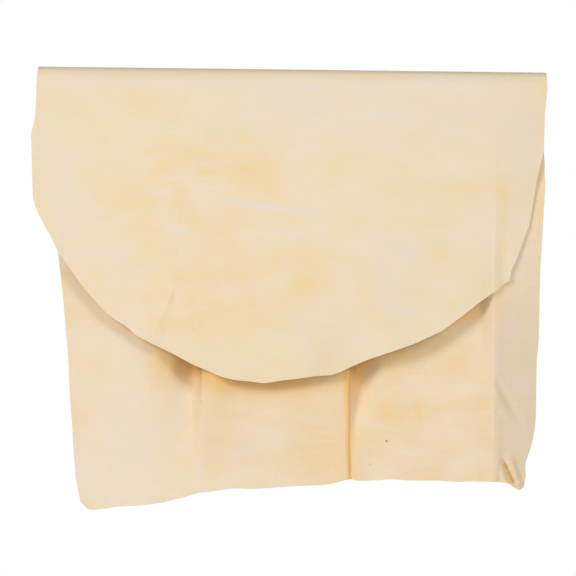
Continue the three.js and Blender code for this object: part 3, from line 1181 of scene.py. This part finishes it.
@dataclass(frozen=True)
class BackLeaf(Leaf):
    """The longer leaf behind, with a turned corner at its lower right, as the photograph shows it."""

    side: Side = Side.BACK
    slot: str = "inner_side"
    left_edge: Sequence[Point] = (
        (0, -252.9), (60, -248.2), (120, -241.5), (194.4, -230.9), (237.6, -225.6), (262.8, -223.2),
        (293, -220.2), (337.5, -217.6), (355.6, -215.6), (380.7, -213.9), (408.8, -211.4), (426, -208.1),
        (434.5, -205.8),
    )
    right_edge: Sequence[Point] = (
        (0, 252.9), (75, 253.3), (113.3, 255), (140.5, 253.4), (175.7, 252), (199.9, 251.1),
        (267.9, 251.5), (287.5, 250), (336.8, 250.2), (351.5, 249.8), (366, 247.6), (377.1, 244.8),
        (389.8, 240.2), (397.2, 239.2), (403.3, 240.1), (409, 239.6), (414, 238.2),
    )
    hem: Sequence[Point] = (
        (-205.8, 434.5), (-200.2, 441.1), (-196.6, 443), (-178.7, 441), (-168.9, 439), (-149, 438),
        (-126, 435), (-110.9, 431), (-98.8, 428), (-86.7, 423.8), (-75.7, 423.1), (-55.1, 419.5),
        (-35.4, 420.1), (-19.4, 419.1), (1.4, 417.3), (40.8, 415.4), (52.1, 412.2), (61.7, 409.6),
        (66.6, 409.6), (70.2, 411.3), (85.1, 410.5), (105.4, 409), (122.6, 409.9), (149.7, 409.6),
        (169.4, 410.5), (186.7, 409.7), (208.9, 410), (219.8, 411), (225.4, 413.2), (228.9, 416.4),
        (232.4, 418.8), (235.2, 419.6), (237.1, 417.8), (238.2, 414),
    )
    creases: Sequence[Crease] = (
        Crease("back_left_wing_fold", Side.BACK), Crease("back_right_panel_fold", Side.BACK),
        Crease("back_right_wing_fold", Side.BACK, hem_play=0.12),
    )
    turns: Point = (0.5, 24.0)
    turn_spans: tuple[Point, Point] = ((LEAF_TOP, BAND), (115, 335))
    levels: Sequence[Level] = (
        lambda hem_depth, at_right: BAND,
        lambda hem_depth, at_right: WING_START,
        lambda hem_depth, at_right: hem_depth - CORNER_RISES[at_right],
    )
    bellies: Sequence[Belly] = (
        Belly(0, -130, 262, 110, 86, 190, 140, -1.0), Belly(0, -12, 290, 40, 12, 240, 135, 8),
        Belly(0, -4.5, 290, 30, 4.5, 200, 50, 17), Belly(0, 12, 302, 16, 28, 70, 60, -7.5),
        Belly(1, 84, 240, 84, 62, 170, 165, 8), Belly(1, 9, 290, 8.5, 42, 230, 125, 5.5),
        Belly(1, 9, 290, 8.5, 28, 190, 86, 12.5), Belly(2, -16, 226, 34, 14, 170, 90, 7),
    )
    laps: Sequence[Lap] = (
        Lap(
            crease=1, lip=1.2, lip_width=24, drop=0.75, recovery=14, start=150, full=300,
            drop_width=1.2, offset=0.3,
        ),
    )
    wrinkles: Sequence[Stroke] = strokes(
        (-0.3, (-82, 200), (-87, 440), 9, (0.4, 0)), (2.0, (63, 372), (65.5, 420), 5, (0.9, 0)),
        (-0.4, (204.5, 170), (206, 400), 4, (0.3, 0.25)), (1.1, (205, 303), (241, 362), 6.5, (0.2, 0.4)),
        (-0.8, (204, 318), (226, 353), 7), (0.7, (204, 341), (217, 338), 3.5),
        (0.7, (215, 378), (211.5, 416), 4, (0.4, 0.1)), (3.2, (213, 383), (229, 414), 2.6, (0.4, 0.12)),
        (-1.8, (220.5, 380), (235, 416), 5, (0.3, 0.1)),
        (-1.2, (211, 392), (222.5, 416), 4.5, (0.3, 0.1)),
        (0.7, (189, 376), (199, 411), 4.4, (0.4, 0.1)), (0.6, (141, 392), (150.5, 412), 4.4, (0.4, 0.1)),
        (1.2, (239.5, 155), (257, 166), 3.2, (0.2, 0)),
    )
    stains_and_shade: StainsAndShade = (
        # Painted shade: warm, darker colour where the front leaf's hem shades this leaf, fading below
        # the hem
        (Tint.PAINTED_WARM_SHADE, (
            HemShade(0.35, ((-232, 150), *FrontLeaf.hem[8:-3], (198, 215), (205, 130), (218, 60)), 0, 28),
        )),
        # Painted shade: warm, darker strokes along the shaded band under the front leaf's hem and down
        # the middle crease
        (Tint.PAINTED_WARM_SHADE, strokes(
            (0.5, (-150, 294), (40, 314), 36, (0.15, 0.2)), (0.5, (69, 262), (71, 350), 16, (0, 0.5)),
            (0.45, (164, 254), (206, 220), 17), (0.58, (57.5, 285), (63.3, 414), 5, (0.2, 0)),
            (0.25, (57.5, 285), (63.3, 414), 26, (0.2, 0)),
            (0.3, (-226, 196), (-150, 268), 22, (0.1, 0.1)), (0.18, (66, 297), (122, 288), 22),
        )),
        (Tint.YELLOW, strokes(
            (-0.2, (-190, 262), (-130, 445), 75, (0.1, 0)),
            (-0.28, (-215, 402), (-130, 436), 34, (0, 0.3)), (0.08, (70, 330), (130, 400), 46),
            # The first stroke here is painted glow: golden light where this leaf nearly touches the
            # front leaf's hem
            (0.5, (-88, 308), (-40, 316), 15), (0.22, (97, 322), (97.4, 356), 10),
            (0.2, (131, 322), (131.3, 352), 6), (0.2, (164, 336), (164.4, 361), 7),
            (0.08, (199, 312), (199.3, 348), 7), (0.08, (18, 326), (26, 414), 30),
            (0.25, (62, 302), (195, 284), 34), (0.1, (30, 330), (34, 414), 34),
            # The first stroke here is painted glow: golden light bounced inside the turned corner's slit
            (1.0, (213, 385), (230, 418), 6, (0.4, 0.1)), (0.1, (195, 262), (197, 420), 11, (0.3, 0)),
        )),
        (Tint.PALE, strokes(
            (0.25, (-214, 350), (-206, 440), 22, (0.3, 0)), (0.45, (-176, 316), (-144, 426), 44),
            (0.5, (-108, 320), (-112, 372), 18), (0.5, (-74, 388), (-22, 379), 20),
            (0.25, (-85, 325), (-88, 440), 7, (0.3, 0)), (0.35, (211, 220), (231, 274), 13),
            (0.3, (209, 225), (211, 360), 7), (0.28, (236, 150), (232, 430), 34, (0.15, 0)),
        )),
        # Painted shade: a dark line down the slit of the turned corner
        (Tint.PAINTED_SHADE, strokes((0.25, (213, 383), (229, 414), 2.4, (0.4, 0.1)))),
    )
    panels: Sequence[Panel] = (
        Panel("back_leaf", cells(range(4), (0,)) | cells((1,), (1, 2, 3)), Bend("fold", LEAF_TOP, 28)),
        Panel("back_left_wing", cells((0,), (1, 2, 3)), Bend("back_leaf", BAND, 320)),
        Panel(
            "back_right_panel", cells((2,), (1, 2, 3)) | cells((3,), (1,)),
            Bend("back_leaf", BAND, 160),
        ),
        Panel("back_right_wing", cells((3,), (2,)), Bend("back_right_panel", WING_START, 338)),
        Panel("back_right_corner", cells((3,), (3,)), Bend("back_right_wing", 9.5, 32)),
    )
    column_cells: Sequence[float] = (2.4, 2.2, 2.2, 1.0)
    row_cells: Sequence[float] = (2.4, 2.4, 2.4, 1.2)
    corner: str = "back_right_corner"
    corner_hinge: str = "back_right_corner_turn"

    def bend(self, piece: bpy.types.Object, panel: Panel) -> None:
        """Bake a piece's transform into its mesh, the turned corner's as well as the others'.

        Args:
            piece: The piece of skin.
            panel: Its place and bend.
        """
        if panel.node != self.corner:
            super().bend(piece, panel)
            return
        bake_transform(piece)


@dataclass(frozen=True)
class Softbox:
    """A square soft lamp, turned to the skin's middle from a place to its right and above it."""

    name: str
    right_deg: float
    up_deg: float
    watts: float


@dataclass(frozen=True)
class Studio:
    """A plain pale floor, soft lamps in front and behind, faint light all round and the camera."""

    floor_z: float = -1300.0
    floor_radius: float = 1500.0
    lamp_distance: float = 4000.0
    lamp_side: float = 1300.0
    ambient: float = 0.13
    aim_z: float = -210.0
    lens: float = 137.9
    sensor: float = 36.0
    view_x: float = -1.17
    view_z: float = -217.5
    view_distance: float = 2200.0
    roll_deg: float = 0.69
    floor_sides: int = 96
    lamps: Sequence[Softbox] = (
        Softbox("left_softbox", -45, 27, 74), Softbox("right_softbox", 45, 30, 49),
        Softbox("front_softbox", 0, 0, 41), Softbox("back_left_softbox", -145, 25, 105),
        Softbox("back_right_softbox", 145, 25, 75),
    )

    def lay_floor(self) -> None:
        """Lay the floor well below the skin's hem."""
        mesh = bpy.data.meshes.new("studio_floor")
        turns = (2 * math.pi * side / self.floor_sides for side in range(self.floor_sides))
        radius = self.floor_radius * MM
        rim = [(math.cos(turn) * radius, math.sin(turn) * radius, 0) for turn in turns]
        mesh.from_pydata(rim, [], [list(range(len(rim)))])
        floor = bpy.data.objects.new("studio_floor", mesh)
        floor.location.z = self.floor_z * MM
        bpy.context.scene.collection.objects.link(floor)
        floor.data.materials.append(PaintedFloor().material())

    def hang(self, softbox: Softbox) -> None:
        """Hang a lamp and turn it to the skin's middle.

        Args:
            softbox: The lamp.
        """
        right, up = math.radians(softbox.right_deg), math.radians(softbox.up_deg)
        towards = Vector((math.sin(right) * math.cos(up), -math.cos(right) * math.cos(up), math.sin(up)))
        data = bpy.data.lights.new(softbox.name, "AREA")
        data.shape = "SQUARE"
        data.size = self.lamp_side * MM
        data.energy = softbox.watts
        lamp = bpy.data.objects.new(softbox.name, data)
        lamp.location = Vector((0, 0, self.aim_z * MM)) + towards * self.lamp_distance * MM
        lamp.rotation_euler = (-towards).to_track_quat("-Z", "Y").to_euler()
        bpy.context.scene.collection.objects.link(lamp)

    def light_all_round(self) -> None:
        """Light the skin faintly from all round, and show plain white behind it."""
        world = bpy.data.worlds.new("studio_light")
        world.use_nodes = True
        tree = world.node_tree
        path = add_node(tree, "LightPath").outputs
        seen = path["Is Camera Ray"]
        for name in ("Is Glossy Ray", "Is Transmission Ray"):
            seen = add_node(tree, "Math", {0: seen, 1: path[name]}, operation="MAXIMUM").outputs[0]
        strength = add_node(tree, "Mix", {"Factor": seen, 2: self.ambient, 3: 1.0}, data_type="FLOAT")
        white = (1, 1, 1, 1)
        fill(tree, tree.nodes["Background"], {"Strength": strength.outputs[0], "Color": white})
        bpy.context.scene.world = world

    def set_camera(self) -> None:
        """Look at the skin from the photograph's place."""
        data = bpy.data.cameras.new("camera")
        data.lens = self.lens
        data.sensor_width = self.sensor
        camera = bpy.data.objects.new("camera", data)
        place = Vector((self.view_x, -MID_RADIUS - self.view_distance, self.view_z)) * MM
        level = Matrix.Rotation(math.pi / 2, 4, "X")
        roll = Matrix.Rotation(math.radians(self.roll_deg), 4, "Z")
        camera.matrix_world = Matrix.Translation(place) @ level @ roll
        bpy.context.scene.collection.objects.link(camera)
        bpy.context.scene.camera = camera

    def build(self) -> None:
        """Set up the studio."""
        bpy.context.scene.view_settings.view_transform = "Standard"
        self.lay_floor()
        for softbox in self.lamps:
            self.hang(softbox)
        self.light_all_round()
        self.set_camera()


def main() -> None:
    """Build the studio and the skin."""
    logging.basicConfig(level=logging.INFO, format="%(name)s %(message)s")
    Studio().build()
    finish = SkinFinish(
        outer=BuffedSuede(
            name="buffed_chamois_outer_side", cream="#efdfc6", yellow="#f5d590", pale="#e9ddd0",
            shade_and_specks="#948774", warm_shade_colour=None, shift=0.0, clouds=0.29,
        ).material(),
        inner=BuffedSuede(
            name="buffed_chamois_inner_side", cream="#f0dec4", yellow="#f2cc84", pale="#e9dcce",
            shade_and_specks="#9a6a2c", warm_shade_colour="#f0bf6e", shift=3.7, clouds=0.34,
            specks=(Speck((99.3, 374.2), 1.4, 0.9), Speck((83.5, 397.6), 1.3, 0.3)),
        ).material(),
        cut=RawCutEdge().material(),
    )
    front, back = FrontLeaf(), BackLeaf()
    TopFold().build(finish, front, back)
    for leaf in (front, back):
        leaf.build(finish)


if __name__ == "__main__":
    main()
